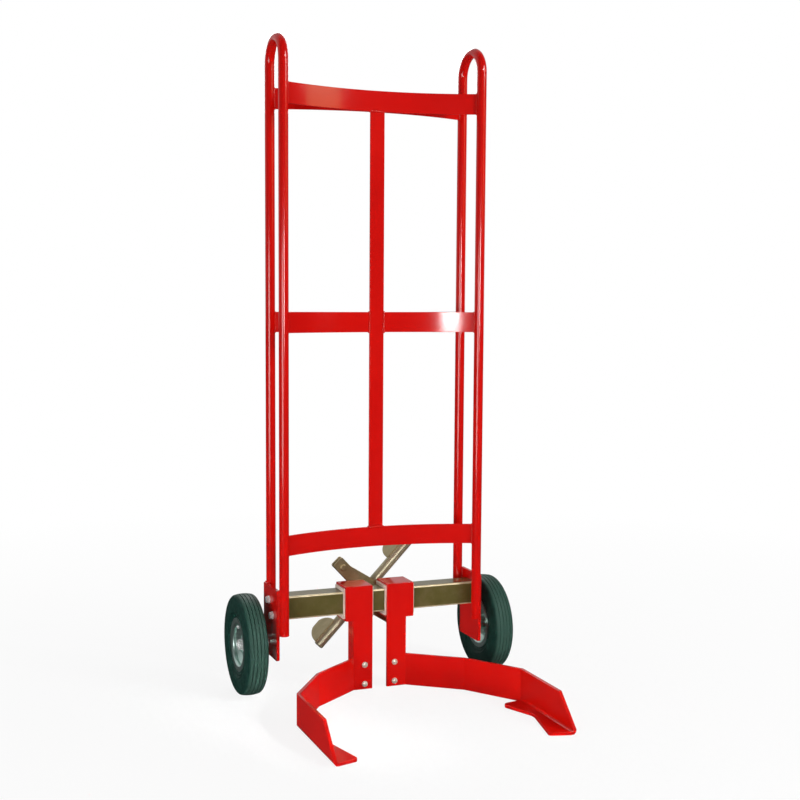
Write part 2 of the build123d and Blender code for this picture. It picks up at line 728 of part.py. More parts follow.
def pivot_nut():
    """Washer and nut at the rear end of the pivot pin."""
    washer = rod_y(0, HUB_REAR + 0.3, HUB_REAR + 3.0, BAR_Z, BOSS_R - 1.0)
    nut = hex_y(0, HUB_REAR + 3.0, HUB_REAR + 12.0, BAR_Z, 24.0)
    return washer + nut - rod_y(0, HUB_REAR, HUB_REAR + 20.0, BAR_Z, PIVOT_D / 2)


def pieces():
    """All pieces by name; those of the left side are mirrored from the right."""
    made = {
        "top_band": front_band(TOP_BAND_Z),
        "bottom_band": front_band(BOTTOM_BAND_Z),
        "top_rear_brace": rear_brace(TOP_BAND_Z),
        "middle_rear_brace": rear_brace(MIDDLE_BAND_Z),
        "brace_blocks": brace_blocks(),
        "centre_strip": centre_strip(),
        "slide_bar": slide_bar(),
        "bar_end_plugs": bar_plugs(),
        "pivot_pin": pivot_pin(),
        "pivot_nut": pivot_nut(),
        "crank_front": crank_plate(CRANK_Y0, CORE_R),
        "crank_rear": crank_plate(REAR_Y0, CORE_R),
        "rocker_hub": rocker_hub(),
        "crank_pins": crank_pins(),
        "upper_pedal_bar": pedal_bar(1),
        "lower_pedal_bar": pedal_bar(-1),
        "upper_tread": tread(1),
        "lower_tread": tread(-1),
        "right_link": link(),
        "left_link": half_turn(link()),
    }
    sided = {
        "side_tube": side_tube(),
        "middle_band": half_middle_band(),
        "wheel_bracket": wheel_bracket(),
        "bar_bolts": bar_bolts(),
        "axle": axle(),
        "axle_nut": axle_nut(),
        "tyre": tyre(),
        "rim_outer": rim_half(1),
        "rim_inner": rim_half(-1),
        "hub": hub(),
        "rim_bolts": rim_bolts(),
        "valve": valve(),
        "sleeve": sleeve(),
        "slide_liner": liner(),
        "arm_plate": drilled_arm_plate(),
        "leg_angle": leg_angle(),
        "leg_bolts": leg_bolts(),
        "lug_pin": lug_pin(),
        "lug_nut": lug_nut(),
    }
    for name, shape in sided.items():
        made["right_" + name] = shape
        made["left_" + name] = other_side(shape)
    return made


os.makedirs("parts", exist_ok=True)
for name, shape in pieces().items():
    export_step(Pos(0, SHIFT_Y, 0) * shape, "parts/" + name + ".step")
print("wrote", len(os.listdir("parts")), "pieces")
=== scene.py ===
# %% [markdown]
# # A tire cart, dressed for the camera
# The solids of the cart come packed, in metres, with the floor at z = 0 and the front along -Y. They
# already have the right sizes, so this lesson only adds what the eye looks for: rounded edges, smooth
# tubes, a real tread, weld beads, threads and finishes. First the solids are loaded.

# %% Load the solids
import json
from math import atan2, cos, pi, radians, sin, sqrt

import bmesh
import bpy
from mathutils import Matrix, Vector


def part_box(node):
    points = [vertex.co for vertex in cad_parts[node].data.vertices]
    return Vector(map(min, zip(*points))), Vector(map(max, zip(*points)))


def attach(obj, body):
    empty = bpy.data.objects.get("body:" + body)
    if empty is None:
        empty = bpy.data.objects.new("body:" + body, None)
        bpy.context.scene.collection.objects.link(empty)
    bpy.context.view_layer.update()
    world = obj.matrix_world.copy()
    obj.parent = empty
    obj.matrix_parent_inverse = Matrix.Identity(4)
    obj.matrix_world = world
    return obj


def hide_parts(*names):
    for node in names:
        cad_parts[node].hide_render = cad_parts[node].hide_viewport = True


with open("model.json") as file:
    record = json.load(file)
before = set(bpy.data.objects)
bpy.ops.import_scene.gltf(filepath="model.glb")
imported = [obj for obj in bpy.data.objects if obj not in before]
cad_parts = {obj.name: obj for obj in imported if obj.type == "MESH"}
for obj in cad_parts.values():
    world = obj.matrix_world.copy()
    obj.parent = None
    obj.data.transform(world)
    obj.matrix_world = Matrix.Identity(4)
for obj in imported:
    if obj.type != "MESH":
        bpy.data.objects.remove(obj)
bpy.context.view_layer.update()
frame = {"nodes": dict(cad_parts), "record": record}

nodes = frame["nodes"]
body_of = {node: body for body, names in frame["record"]["behaviour"]["bodies"].items() for node in names}
slot_of = {piece["node"]: piece["material_slot"] for piece in frame["record"]["subparts"]}


def middle_of(node):
    low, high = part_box(node)
    return (low + high) / 2


def half_of(node):
    """Half the size of a solid's box along X, Y and Z."""
    low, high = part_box(node)
    return (high - low) / 2


# %% [markdown]
# ## Finishes
# Every finish is a small node tree on one Principled shader. The pattern is read from Object coordinates,
# which are metres here, so a noise scale of 10 means patches of about 100 mm. A few helpers keep the trees
# short: a cloud is a noise, a ramp turns it into colours, a spread turns it into a number between two
# limits.

# %% Helpers for node trees
def new_finish(name):
    finish = bpy.data.materials.new(name)
    finish.use_nodes = True
    tree = finish.node_tree
    shader = tree.nodes["Principled BSDF"]
    place = tree.nodes.new("ShaderNodeTexCoord").outputs["Object"]
    return finish, tree, shader, place


def fed(tree, node, values):
    """Links or sets the inputs of a node, in their order."""
    for value, socket in zip(values, node.inputs):
        if isinstance(value, bpy.types.NodeSocket):
            tree.links.new(value, socket)
        else:
            socket.default_value = value
    return node


def maths(tree, operation, *values):
    node = tree.nodes.new("ShaderNodeMath")
    node.operation = operation
    return fed(tree, node, values).outputs["Value"]


def times(tree, *values):
    return maths(tree, "MULTIPLY", *values)


def vector_maths(tree, operation, *values):
    """Gives a number for a length or a dot product, and a vector for the rest."""
    node = tree.nodes.new("ShaderNodeVectorMath")
    node.operation = operation
    result = "Value" if operation in ("LENGTH", "DOT_PRODUCT") else "Vector"
    return fed(tree, node, values).outputs[result]


def mapped(tree, value, from_low, from_high, to_low=0.0, to_high=1.0):
    """Maps one range of a value onto another, and holds it beyond both ends."""
    node = tree.nodes.new("ShaderNodeMapRange")
    return fed(tree, node, (value, from_low, from_high, to_low, to_high)).outputs["Result"]


print("a value can be a number or the output of another node")

# %% Clouds, ramps and bumps
def cloud(tree, place, scale, detail=3.0, roughness=0.5):
    noise = tree.nodes.new("ShaderNodeTexNoise")
    noise.inputs["Scale"].default_value = scale
    noise.inputs["Detail"].default_value = detail
    noise.inputs["Roughness"].default_value = roughness
    tree.links.new(place, noise.inputs["Vector"])
    return noise.outputs["Fac"]


def ramp(tree, factor, stops):
    node = tree.nodes.new("ShaderNodeValToRGB")
    points = node.color_ramp.elements
    while len(points) < len(stops):
        points.new(0.5)
    for point, (at, colour) in zip(points, stops):
        point.position = at
        point.color = (*colour, 1.0)
    tree.links.new(factor, node.inputs["Fac"])
    return node.outputs["Color"]


NOISE_LOW, NOISE_HIGH = 0.3, 0.7


def spread(tree, noise, low, high):
    """Spreads the middle part of a noise, where most of it lies, over two limits."""
    return mapped(tree, noise, NOISE_LOW, NOISE_HIGH, low, high)


def bump(tree, shader, height, strength, depth):
    node = tree.nodes.new("ShaderNodeBump")
    node.inputs["Strength"].default_value = strength
    node.inputs["Distance"].default_value = depth
    tree.links.new(height, node.inputs["Height"])
    tree.links.new(node.outputs["Normal"], shader.inputs["Normal"])


print("a spread takes a noise from", NOISE_LOW, "to", NOISE_HIGH)

# %% [markdown]
# Handling wears a finish first where it is thinnest, on the edges, and the lighter colour put there is also
# a painted edge highlight, the pale line that light draws along an edge. The Bevel node gives the normal
# that a rounded edge would have. Where it leans away from the real normal there is an edge, and a fine noise
# breaks the worn and highlighted line up.

# %% Helpers for worn and highlighted edges
LEAN_NONE, LEAN_FULL = 0.995, 0.90


# The edges this mask finds are shown lighter, partly as wear and partly as a painted edge highlight.
def edge_wear_and_highlight_mask(tree, place, radius, share):
    """0 on a flat face, and up to the share on its edges."""
    rounded = tree.nodes.new("ShaderNodeBevel")
    rounded.samples = 4
    rounded.inputs["Radius"].default_value = radius
    flat = tree.nodes.new("ShaderNodeNewGeometry").outputs["Normal"]
    lean = vector_maths(tree, "DOT_PRODUCT", rounded.outputs["Normal"], flat)
    broken = spread(tree, cloud(tree, place, 150.0, 5.0, 0.65), 0.15 * share, share)
    return times(tree, mapped(tree, lean, LEAN_NONE, LEAN_FULL), broken)


def mix_in_colour(tree, mask, colour):
    """Lets another colour show through where the mask is 1."""
    base = tree.nodes["Principled BSDF"].inputs["Base Color"]
    mix = tree.nodes.new("ShaderNodeMix")
    mix.data_type = "RGBA"
    mix.inputs["B"].default_value = (*colour, 1.0)
    tree.links.new(mask, mix.inputs["Factor"])
    tree.links.new(base.links[0].from_socket, mix.inputs["A"])
    tree.links.new(mix.outputs["Result"], base)


def from_middle(tree, node):
    """The way to the shaded point from the middle of a solid's box."""
    place = tree.nodes["Texture Coordinate"].outputs["Object"]
    return vector_maths(tree, "SUBTRACT", place, middle_of(node))


# Where the lean reaches LEAN_FULL, an edge shows its full lighter colour: worn paint and a painted edge
# highlight together.
print("an edge is fully worn where the normals lean to", LEAN_FULL)

# %% [markdown]
# The frame wears thick red enamel. Its colour is nearly even, with slow cloudy changes where the spray was
# thicker. The gloss comes from a thin clear coat alone. That keeps the red deep where a face is seen at a
# slant under a white sky, and the lamps still draw their bright lines on the tubes. A very fine ripple, the
# orange peel of sprayed paint, softens those lines.

# %% Red enamel
def enamel_finish():
    finish, tree, shader, place = new_finish("red_enamel")
    slow = cloud(tree, place, 4.0, 3.0)
    stops = [(0.30, (0.53, 0.0026, 0.0012)), (0.52, (0.58, 0.0030, 0.0014)), (0.72, (0.62, 0.0048, 0.0020))]
    tree.links.new(ramp(tree, slow, stops), shader.inputs["Base Color"])
    # Lighter orange-red on the edges: partly worn thin paint, partly a painted edge highlight.
    mix_in_colour(tree, edge_wear_and_highlight_mask(tree, place, 0.0016, 0.55), (0.74, 0.030, 0.016))
    tree.links.new(spread(tree, cloud(tree, place, 30.0), 0.35, 0.45), shader.inputs["Roughness"])
    shader.inputs["Specular IOR Level"].default_value = 0.0
    shader.inputs["Coat Weight"].default_value = 1.0
    shader.inputs["Coat Roughness"].default_value = 0.12
    bump(tree, shader, cloud(tree, place, 700.0, 2.0), 0.05, 0.0002)
    return finish


enamel = enamel_finish()
print("made", enamel.name)

# %% [markdown]
# The bar, the rocker and the bolts are plated: zinc with a yellow passivation, whose colour drifts between
# olive, gold and a pinkish bloom. One function makes every plated finish from a line of a table. The bar is
# the darkest and shows little of the metal, the pedal bars and the bolts are paler, and the rims are grey
# green. The edges of every plated finish are brighter, partly worn and partly a painted edge highlight. The
# round corners of the bar carry a painted highlight: a mask that follows those corners lets a brighter
# colour show, a pale line where light would catch them.

# %% Zinc
def zinc_finish(name, dark, mid, bloom, rough, uneven, metal, gloss):
    finish, tree, shader, place = new_finish(name)
    drift = cloud(tree, place, 22.0, 5.0, 0.6)
    colour = ramp(tree, drift, [(0.30, dark), (0.52, mid), (0.74, bloom)])
    tree.links.new(colour, shader.inputs["Base Color"])
    # Brighter edges: partly worn plating, partly a painted edge highlight.
    bright = [min(1.0, 1.35 * part) for part in bloom]
    mix_in_colour(tree, edge_wear_and_highlight_mask(tree, place, 0.0012, 0.7), bright)
    shader.inputs["Metallic"].default_value = metal
    shader.inputs["Specular IOR Level"].default_value = gloss
    grain = cloud(tree, place, 240.0)
    tree.links.new(spread(tree, grain, rough - uneven, rough + uneven), shader.inputs["Roughness"])
    bump(tree, shader, grain, 0.75 * uneven, 0.0003)
    return finish


def paint_corner_highlight(finish, bar, corner, colour):
    """Paints a highlight on the round corners of a bar along X, where both distances to its middle line are
    large.
    """
    tree = finish.node_tree
    away = tree.nodes.new("ShaderNodeSeparateXYZ")
    tree.links.new(vector_maths(tree, "ABSOLUTE", from_middle(tree, bar)), away.inputs["Vector"])
    least = maths(tree, "MINIMUM", away.outputs["Y"], away.outputs["Z"])
    half = half_of(bar).z
    mask = mapped(tree, least, half - corner, half - 0.6 * corner)
    place = tree.nodes["Texture Coordinate"].outputs["Object"]
    broken = spread(tree, cloud(tree, place, 45.0, 4.0), 0.55, 0.95)
    mix_in_colour(tree, times(tree, mask, broken), colour)


# Dark, middle and bloom colour, then the roughness, how far it varies, the share of metal and the gloss.
zinc_table = {
    "bar": ((0.112, 0.094, 0.026), (0.134, 0.112, 0.034), (0.175, 0.140, 0.060), 0.20, 0.006, 0.3, 0.36),
    "pedal": ((0.350, 0.320, 0.200), (0.430, 0.400, 0.265), (0.510, 0.470, 0.335), 0.36, 0.03, 0.5, 0.5),
    "rocker": ((0.305, 0.255, 0.130), (0.415, 0.342, 0.188), (0.510, 0.412, 0.250), 0.42, 0.04, 1.0, 0.5),
    "bolt": ((0.680, 0.600, 0.480), (0.780, 0.710, 0.600), (0.860, 0.800, 0.710), 0.26, 0.06, 0.4, 0.5),
    "plain": ((0.680, 0.690, 0.680), (0.780, 0.790, 0.780), (0.860, 0.860, 0.850), 0.26, 0.06, 0.25, 0.5),
    "rim": ((0.520, 0.700, 0.640), (0.630, 0.810, 0.750), (0.720, 0.880, 0.830), 0.34, 0.04, 1.0, 0.5),
}
zinc = {name: zinc_finish(name + "_zinc", *values) for name, values in zinc_table.items()}
BAR_CORNER = 0.0050
# A painted highlight: a pale gold line along the round corners of the bar.
paint_corner_highlight(zinc["bar"], "slide_bar", BAR_CORNER, (0.86, 0.72, 0.46))
print("made", len(zinc), "zinc finishes")

# %% [markdown]
# Tyre rubber is never pure black: here it is a dark green grey, paler on the outermost part of the tread
# than on the side walls. Dust makes it paler in patches. The liners of the sleeves are a hard cream plastic,
# pale enough that their ends also stand for bright highlight lines, a painted highlight, and the valves are
# plain rubber. They are dusty in the same way, so one function serves all three.

# %% Rubber and plastic
def rubber_finish(name, dark, dusty, low, high, gloss):
    finish, tree, shader, place = new_finish(name)
    dust = cloud(tree, place, 38.0, 6.0, 0.65)
    tree.links.new(ramp(tree, dust, [(0.36, dark), (0.78, dusty)]), shader.inputs["Base Color"])
    tree.links.new(spread(tree, cloud(tree, place, 90.0), low, high), shader.inputs["Roughness"])
    shader.inputs["Specular IOR Level"].default_value = gloss
    bump(tree, shader, cloud(tree, place, 1500.0, 2.0), 0.10, 0.0002)
    return finish


def pale_crown(finish, tyre, start, full, colour):
    """Shows a paler colour on the outermost part of a tyre's tread, from one depth below its outer surface
    up to another.
    """
    tree = finish.node_tree
    across = vector_maths(tree, "MULTIPLY", from_middle(tree, tyre), (0.0, 1.0, 1.0))
    reach = vector_maths(tree, "LENGTH", across)
    wheel = half_of(tyre).z
    mix_in_colour(tree, mapped(tree, reach, wheel - start, wheel - full), colour)


rubber = rubber_finish("tyre_rubber", (0.0035, 0.0270, 0.0200), (0.0130, 0.0500, 0.0390), 0.44, 0.58, 0.12)
pale_crown(rubber, "left_tyre", 0.0045, 0.0015, (0.034, 0.082, 0.063))
valve_rubber = rubber_finish("valve_rubber", (0.012, 0.016, 0.015), (0.030, 0.036, 0.034), 0.40, 0.55, 0.3)
# The liner's own cream colour, made pale enough that the ends of the liners also stand for the bright lines
# at the sleeve ends, a painted highlight.
liner_plastic = rubber_finish("liner_plastic", (0.700, 0.600, 0.510), (0.820, 0.730, 0.640), 0.30, 0.42, 0.4)
print("made", rubber.name, valve_rubber.name, liner_plastic.name)

# %% [markdown]
# ## Rounded edges
# A solid from a drawing has knife edges, and knife edges never catch the light. Each flat piece is
# therefore shown by a copy of its solid: doubles merged, flat triangles joined, sharp edges marked, and a
# narrow bevel put on the marked edges by a modifier. An edge that runs into the thin point of a face stays
# as it is, because a bevel would make a spike there. Normals weighted by area keep the wide faces flat. The
# copy stands for the solid, which stays in the model, hidden.

# %% Joining the scene
finish_of_slot = {
    "red_paint": enamel,
    "yellow_zinc": zinc["rocker"],
    "bare_steel": zinc["plain"],
    "tyre_rubber": rubber,
    "rim_steel": zinc["rim"],
    "valve_rubber": valve_rubber,
    "liner_plastic": liner_plastic,
}


def join_scene(name, mesh, finish):
    piece = bpy.data.objects.new(name, mesh)
    bpy.context.scene.collection.objects.link(piece)
    mesh.materials.clear()
    mesh.materials.append(finish)
    return piece


def shade(mesh, angle=30.0):
    for face in mesh.polygons:
        face.use_smooth = True
    mesh.set_sharp_from_angle(angle=radians(angle))


def stand_for(piece, node):
    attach(piece, body_of[node])
    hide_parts(node)


print("slots with a finish:", len(finish_of_slot))

# %% Copies with rounded edges
def mark_corners(shape, angle, thin=10.0):
    """Marks the sharp edges to round, but none that runs into the thin point of a face."""
    mark = shape.edges.layers.float.new("bevel_weight_edge")
    for edge in shape.edges:
        sharp = edge.calc_face_angle(0.0) > radians(angle)
        corners = [loop.calc_angle() for vert in edge.verts for loop in vert.link_loops]
        edge[mark] = 1.0 if sharp and min(corners) > radians(thin) else 0.0


MERGE_WITHIN = 2e-6
FLAT_WITHIN = radians(0.4)


def soften(node, finish, width, segments=2, angle=32.0):
    shape = bmesh.new()
    shape.from_mesh(nodes[node].data)
    bmesh.ops.remove_doubles(shape, verts=shape.verts, dist=MERGE_WITHIN)
    bmesh.ops.dissolve_limit(shape, angle_limit=FLAT_WITHIN, verts=shape.verts, edges=shape.edges)
    mark_corners(shape, angle)
    mesh = bpy.data.meshes.new(node + "_rounded")
    shape.to_mesh(mesh)
    shape.free()
    shade(mesh)
    piece = join_scene(node + "_rounded", mesh, finish)
    edge = piece.modifiers.new("rounded_edges", "BEVEL")
    edge.width = width
    edge.segments = segments
    edge.limit_method = "WEIGHT"
    edge.use_clamp_overlap = False
    edge.harden_normals = True
    flat = piece.modifiers.new("flat_faces", "WEIGHTED_NORMAL")
    flat.weight = 100
    flat.keep_sharp = True
    stand_for(piece, node)


PAINTED_EDGE, PLATED_EDGE, BAR_EDGE = 0.0008, 0.0007, 0.0004
both = ("left_", "right_")
flat_red = ["top_band", "bottom_band", "top_rear_brace", "middle_rear_brace", "centre_strip", "brace_blocks"]
paired_red = ("middle_band", "wheel_bracket", "sleeve", "arm_plate", "leg_angle")
flat_red += [side + name for side in both for name in paired_red]
flat_plated = ("crank_front", "crank_rear", "upper_tread", "lower_tread", "left_link", "right_link")
for node in flat_red:
    soften(node, enamel, PAINTED_EDGE)
for node in flat_plated:
    soften(node, zinc["rocker"], PLATED_EDGE)
soften("slide_bar", zinc["bar"], BAR_EDGE, segments=1)
print("rounded", len(flat_red) + len(flat_plated) + 1, "flat pieces")

# %% [markdown]
# The other solids keep their own meshes and only get their finish. Most take the finish of their slot. The
# pedal bars and the bolts of the legs are paler than the rocker, and the bolts of the bar are plain white
# zinc.

# %% Finishes of the solids that stay
own_finish = {"pedal_bar": zinc["pedal"], "leg_bolts": zinc["bolt"], "bar_bolts": zinc["plain"]}
for node, solid in nodes.items():
    finish = finish_of_slot[slot_of[node]]
    for ending, other in own_finish.items():
        if node.endswith(ending):
            finish = other
    solid.data.materials.clear()
    solid.data.materials.append(finish)
print("finishes set on", len(nodes), "solids")

# %% [markdown]
# ## Smooth side tubes
# Each side tube is one bent tube. Its rings are swept along two straight legs and a half circle, with an
# inner wall, so that the open lower ends show their thickness. A finer mesh than the solid's keeps the
# handle bend round.

# %% Side tubes
def sweep_rings(centres, radius, inner, around):
    """Closed wall of a tube: outer rings one way, inner rings back, from (centre, side, out) frames."""
    rings = []
    for reach, order in ((radius, centres), (inner, centres[::-1])):
        for centre, side, out in order:
            turn = [2 * pi * i / around for i in range(around)]
            rings.append([centre + side * (reach * cos(a)) + out * (reach * sin(a)) for a in turn])
    return rings


def loop_mesh(name, rings):
    """Joins a closed row of rings into one closed mesh."""
    shape = bmesh.new()
    made = [[shape.verts.new(point) for point in ring] for ring in rings]
    for ring, following in zip(made, made[1:] + made[:1]):
        for i in range(len(ring)):
            j = (i + 1) % len(ring)
            shape.faces.new((ring[i], ring[j], following[j], following[i]))
    bmesh.ops.recalc_face_normals(shape, faces=shape.faces)
    mesh = bpy.data.meshes.new(name)
    shape.to_mesh(mesh)
    shape.free()
    return mesh


TUBE_WALL = 0.0025
LEG_STEPS, BEND_STEPS = 12, 40


def rear_leg_end():
    """The rear legs end a quarter of the bar's height below its middle."""
    return middle_of("slide_bar").z - half_of("slide_bar").z / 2


def leg_frames(x, y, start, end, steps, out):
    heights = [start + (end - start) * k / LEG_STEPS for k in steps]
    return [(Vector((x, y, z)), Vector((1, 0, 0)), Vector((0, out, 0))) for z in heights]


def tube_frames(node):
    """Up the front leg, round the handle and down the rear leg."""
    low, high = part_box(node)
    radius, x = half_of(node).x, middle_of(node).x
    front, rear = low.y + radius, high.y - radius
    bend = (rear - front) / 2
    bend_z = high.z - radius - bend
    frames = leg_frames(x, front, low.z, bend_z, range(LEG_STEPS), -1)
    for k in range(BEND_STEPS + 1):
        a = pi - pi * k / BEND_STEPS
        out = Vector((0, cos(a), sin(a)))
        frames.append((Vector((x, (front + rear) / 2, bend_z)) + out * bend, Vector((1, 0, 0)), out))
    frames += leg_frames(x, rear, bend_z, rear_leg_end(), range(1, LEG_STEPS + 1), 1)
    return frames, radius


for side in both:
    frames, tube_radius = tube_frames(side + "side_tube")
    rings = sweep_rings(frames, tube_radius, tube_radius - TUBE_WALL, 40)
    mesh = loop_mesh(side + "tube_smooth", rings)
    shade(mesh)
    stand_for(join_scene(side + "tube_smooth", mesh, enamel), side + "side_tube")
print("swept two side tubes, radius", round(tube_radius, 4))

# %% [markdown]
# ## Tyres
# The tyre is turned on a lathe: one closed profile, spun round the axle. What a plain spin can't give is
# the tread. Trolley tyres have ring grooves whose walls run in a zigzag, so the points of the groove walls
# are pushed sideways by a saw wave that follows the angle. Two thin raised rings on each side wall break
# the light there.

# %% Tyre profile
def arc_points(a, b, c, count):
    """Points on the circle through three points of a profile, from a to c."""
    ax, ay, bx, by, cx, cy = *a, *b, *c
    d = 2 * (ax * (by - cy) + bx * (cy - ay) + cx * (ay - by))
    ux = ((ax**2 + ay**2) * (by - cy) + (bx**2 + by**2) * (cy - ay) + (cx**2 + cy**2) * (ay - by)) / d
    uy = ((ax**2 + ay**2) * (cx - bx) + (bx**2 + by**2) * (ax - cx) + (cx**2 + cy**2) * (bx - ax)) / d
    reach = sqrt((ax - ux) ** 2 + (ay - uy) ** 2)
    start = atan2(ay - uy, ax - ux)
    sweep = atan2(cy - uy, cx - ux) - start
    sweep = (sweep + pi) % (2 * pi) - pi
    turns = [start + sweep * k / count for k in range(count)]
    return [(ux + reach * cos(a), uy + reach * sin(a)) for a in turns]


def raised_ring(x, r, lift=0.0007, half=0.0008):
    """Four points that lift a narrow ring off the side wall."""
    return [(x, r - 1.6 * half), (x + lift, r - half), (x + lift, r + half), (x, r + 1.6 * half)]


RIM_SHEET, RIM_FLANGE = 0.003, 0.014
SHOULDER, CROWN_DROP = 0.0070, 0.0025
BEAD_CORNER = 0.0026
RAISED_STEPS = (3, 6)


def tyre_side(half, wheel, rim, bead):
    """One half of the profile, from the seat on the rim to the shoulder, as (x, radius)."""
    seat = rim - RIM_FLANGE
    line = [(0.0, seat), (bead - BEAD_CORNER, seat), (bead, seat + BEAD_CORNER), (bead, rim - 0.0010)]
    widest, upper = (half, wheel - 0.034), (half - 0.0015, wheel - 0.012)
    shoulder = (half - SHOULDER, wheel - CROWN_DROP)
    wall = arc_points((bead, rim + 0.0015), (half - 0.0016, wheel - 0.046), widest, 10)
    for k, (x, r) in enumerate(wall):
        line += raised_ring(x, r) if k in RAISED_STEPS else [(x, r)]
    line += arc_points(widest, (half - 0.0004, wheel - 0.023), upper, 6)
    line += arc_points(upper, (half - 0.0032, wheel - 0.0055), shoulder, 8)
    return line


def crown_height(x, half, wheel):
    return wheel - CROWN_DROP * (x / (half - SHOULDER)) ** 2


# One wall of a groove, as the way from its middle line and the depth; the other wall is its mirror image.
groove_wall = ((0.0011, 0.0), (0.0009, 0.0004), (0.0006, 0.0028))
groove = groove_wall + tuple((-u, drop) for u, drop in groove_wall[::-1])


def tread_line(half, wheel):
    """Crown from right to left with its grooves; the third number says which way the saw wave pushes."""
    edge = half - SHOULDER
    line = [(edge, crown_height(edge, half, wheel), 0.0)]
    for k in (3, 1, -1, -3):
        for u, drop in groove:
            x = k * half / 6 + u
            line.append((x, crown_height(x, half, wheel) - drop, 1.0))
        if k > -3:
            x = (k - 1) * half / 6
            line.append((x, crown_height(x, half, wheel), 0.0))
    line.append((-edge, crown_height(edge, half, wheel), 0.0))
    return line


print("the line of a groove has", len(groove), "points")

# %% Turned tyres
def turned_mesh(name, profile, centre, around, saw=0.0, teeth=60):
    """Spins a closed profile of (x, radius, push) round a line along X through the centre."""
    rings = []
    for x, r, push in profile:
        ring = []
        for i in range(around):
            a = 2 * pi * i / around
            phase = (a * teeth / (2 * pi)) % 1.0
            wave = saw * push * (abs(2 * phase - 1) * 2 - 1)
            ring.append(centre + Vector((x + wave, r * cos(a), r * sin(a))))
        rings.append(ring)
    return loop_mesh(name, rings)


def tyre_profile(half, wheel, rim, bead):
    side = tyre_side(half, wheel, rim, bead)
    right = [(x, r, 0.0) for x, r in side]
    left = [(-x, r, 0.0) for x, r in side[:0:-1]]
    return right + tread_line(half, wheel) + left


for side in both:
    low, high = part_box(side + "tyre")
    centre = (low + high) / 2
    wheel = (high.z - low.z) / 2
    rim_low, rim_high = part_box(side + "rim_outer")
    rim, bead = (rim_high.y - rim_low.y) / 2, rim_high.x - rim_low.x - RIM_SHEET
    profile = tyre_profile((high.x - low.x) / 2, wheel, rim, bead)
    mesh = turned_mesh(side + "tyre_tread", profile, centre, 240, saw=0.0005)
    shade(mesh, 40.0)
    stand_for(join_scene(side + "tyre_tread", mesh, rubber), side + "tyre")
print("turned two tyres, radius", round(wheel, 4), "faces each", len(mesh.polygons))

# %% [markdown]
# ## Pressed rims
# Each wheel has two rim halves pressed from sheet. A press leaves soft bends, so the line of the sheet is
# rounded at every corner first, then given its thickness on both sides, then spun. Rounding the line before
# the thickness keeps the sheet equally thick through the bends.

# %% Rims
def rounded_line(points, radius, steps):
    """Replaces every inner corner of a line of (x, r) points by an arc."""
    line = [points[0]]
    for before, corner, after in zip(points, points[1:], points[2:]):
        into = (Vector(corner) - Vector(before)).normalized()
        away = (Vector(after) - Vector(corner)).normalized()
        bend = into.angle(away)
        reach = radius * sin(bend / 2) / cos(bend / 2)
        start = Vector(corner) - into * reach
        turn = into.angle_signed(away)
        heading = into.copy()
        spot = start.copy()
        line.append(tuple(spot))
        for k in range(steps):
            step = Matrix.Rotation(-turn / steps / 2, 2)
            heading = step @ heading
            spot = spot + heading * (2 * radius * sin(bend / steps / 2))
            heading = step @ heading
            line.append(tuple(spot))
    return line + [points[-1]]


def sheet_profile(line, thickness):
    """Closed outline of a bent sheet from its middle line."""
    near, far = [], []
    for k, point in enumerate(line):
        along = Vector(line[min(k + 1, len(line) - 1)]) - Vector(line[max(k - 1, 0)])
        across = Vector((-along.y, along.x)).normalized() * (thickness / 2)
        near.append(Vector(point) + across)
        far.append(Vector(point) - across)
    return near + far[::-1]


RIM_BORE, RIM_DISC, RIM_BEND = 0.019, 0.021, 0.0030


def rim_middle_line(rim, width, sheet):
    """From the bore out over the disc and the seat of the tyre to the edge of the flange."""
    seat = rim - RIM_FLANGE - sheet / 2
    face = width / 2 - sheet / 2
    points = [(sheet / 2, RIM_BORE), (sheet / 2, RIM_BORE + RIM_DISC), (width / 4, seat)]
    points += [(width / 2 - sheet - 0.002, seat), (face, seat + 0.0035), (face, rim)]
    return rounded_line(points, RIM_BEND, 5)


for side in both:
    for half, sign in (("rim_outer", 1.0), ("rim_inner", -1.0)):
        node = side + half
        low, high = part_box(node)
        out = sign if side == "right_" else -sign
        rim = (high.y - low.y) / 2
        axle = (low + high) / 2
        axle.x = low.x if out > 0 else high.x
        line = rim_middle_line(rim, 2 * (high.x - low.x), RIM_SHEET)
        profile = [(out * point.x, point.y, 0.0) for point in sheet_profile(line, RIM_SHEET)]
        mesh = turned_mesh(node + "_pressed", profile, axle, 120)
        shade(mesh, 45.0)
        stand_for(join_scene(node + "_pressed", mesh, zinc["rim"]), node)
print("pressed four rim halves, radius", round(rim, 4))

# %% [markdown]
# The valve looks out through the outer rim half. Its rubber stem wears a small bright cap, a short turned
# cylinder with a rounded rim that sits over the end of the stem.

# %% Valve caps
CAP_LENGTH, CAP_RADIUS, CAP_EDGE, CAP_TOP = 0.0076, 0.0037, 0.0007, 0.0004


def valve_cap(side):
    low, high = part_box(side + "valve")
    out = 1 if side == "right_" else -1
    tip = high.x if out > 0 else low.x
    centre = middle_of(side + "valve")
    centre.x = tip + out * (CAP_TOP - CAP_LENGTH / 2)
    shape = bmesh.new()
    turn = Matrix.Translation(centre) @ Matrix.Rotation(pi / 2, 4, "Y")
    size = {"radius1": CAP_RADIUS, "radius2": CAP_RADIUS, "depth": CAP_LENGTH}
    bmesh.ops.create_cone(shape, cap_ends=True, segments=24, matrix=turn, **size)
    rims = [edge for edge in shape.edges if edge.calc_face_angle(0.0) > radians(60)]
    bmesh.ops.bevel(shape, geom=rims, offset=CAP_EDGE, segments=3, affect="EDGES", profile=0.5)
    mesh = bpy.data.meshes.new(side + "valve_cap")
    shape.to_mesh(mesh)
    shape.free()
    shade(mesh)
    piece = join_scene(side + "valve_cap", mesh, zinc["plain"])
    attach(piece, body_of[side + "valve"])


